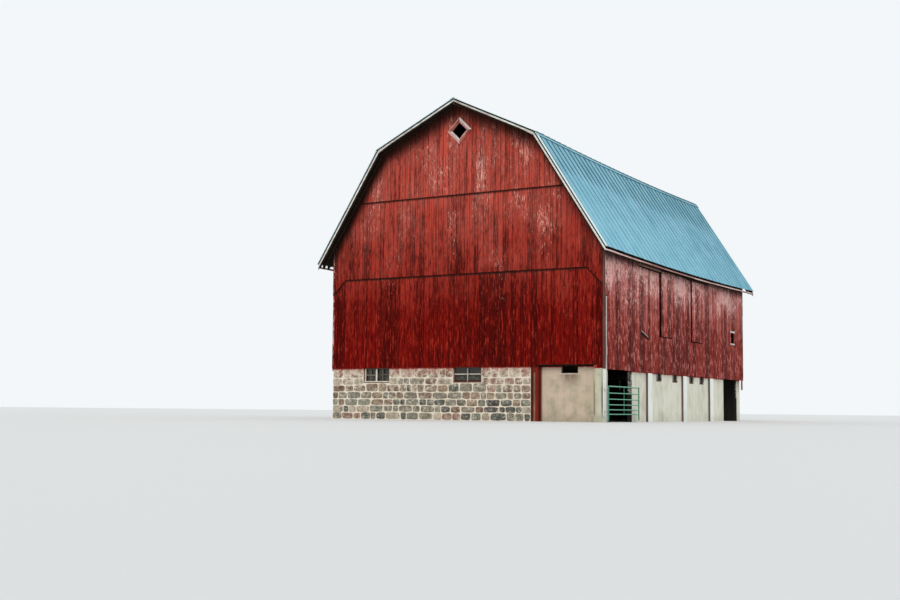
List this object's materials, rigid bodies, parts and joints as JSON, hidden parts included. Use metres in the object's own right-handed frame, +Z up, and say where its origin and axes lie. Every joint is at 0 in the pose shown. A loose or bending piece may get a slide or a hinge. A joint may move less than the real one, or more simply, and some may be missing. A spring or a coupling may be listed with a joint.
{
  "type": "gambrel roof bank barn",
  "caption": "Timber-framed red hay barn with a sagging gambrel roof of seamed metal on a stone and concrete livestock basement, with a tube gate across one doorway.",
  "frame": {"origin": "middle of the building's outline on the ground", "axes": "+X across the gable towards the doorway wall, +Y along the ridge away from the front gable, +Z up"},
  "size_m": [12.98, 18.68, 12.7214],
  "materials": {
    "red_boards": "worn barn paint",
    "red_post": "worn barn paint",
    "field_stone": "split field stone",
    "concrete": "old poured concrete",
    "timber": "rough sawn, aged",
    "roof_metal": "dull galvanised",
    "weathered_board": "bare and weathered",
    "window_wood": "worn paint",
    "window_glass": "dusty",
    "gate_paint": "worn enamel",
    "old_iron": "rusted"
  },
  "bodies": {
    "barn": {"front_siding_lower": "red_boards", "front_siding_middle": "red_boards", "front_siding_upper": "red_boards", "rear_siding_lower": "red_boards", "rear_siding_middle": "red_boards", "rear_siding_upper": "red_boards", "left_siding": "red_boards", "right_siding": "red_boards", "hay_doors": "red_boards", "front_red_post": "red_post", "front_stone_wall": "field_stone", "rear_stone_wall": "field_stone", "left_stone_wall": "field_stone", "front_infill_wall": "concrete", "near_corner_pier": "concrete", "far_corner_pier": "concrete", "right_wall_panels": "concrete", "right_wall_pilasters": "concrete", "side_sill_beams": "timber", "end_sill_beams": "timber", "floor_joists": "timber", "hay_floor": "timber", "summer_beams": "timber", "basement_posts": "timber", "roof_plates": "timber", "wall_posts": "timber", "purlin_posts": "timber", "tie_beams": "timber", "tie_braces": "timber", "lower_rafters": "timber", "upper_rafters": "timber", "roof_boards_lower": "timber", "roof_boards_upper_left": "timber", "roof_boards_upper_right": "timber", "roof_metal_lower": "roof_metal", "roof_metal_upper_left": "roof_metal", "roof_metal_upper_right": "roof_metal", "ridge_cap": "roof_metal", "eave_boards": "weathered_board", "rake_boards": "weathered_board", "corner_strip": "weathered_board", "loose_board": "weathered_board", "loft_window_trim": "weathered_board", "diamond_frames": "weathered_board", "end_window_frames": "window_wood", "side_window_frames": "window_wood", "window_glass": "window_glass", "gate_hooks": "old_iron"},
    "gate": {"doorway_gate": "gate_paint"}
  },
  "joints": [
    {"name": "gate_swing", "type": "hinge", "parent": "barn", "child": "gate", "pos_m": [6.215, -8.543, 0.38], "axis": [0, 0, -1], "range_deg": [0, 165]}
  ]
}
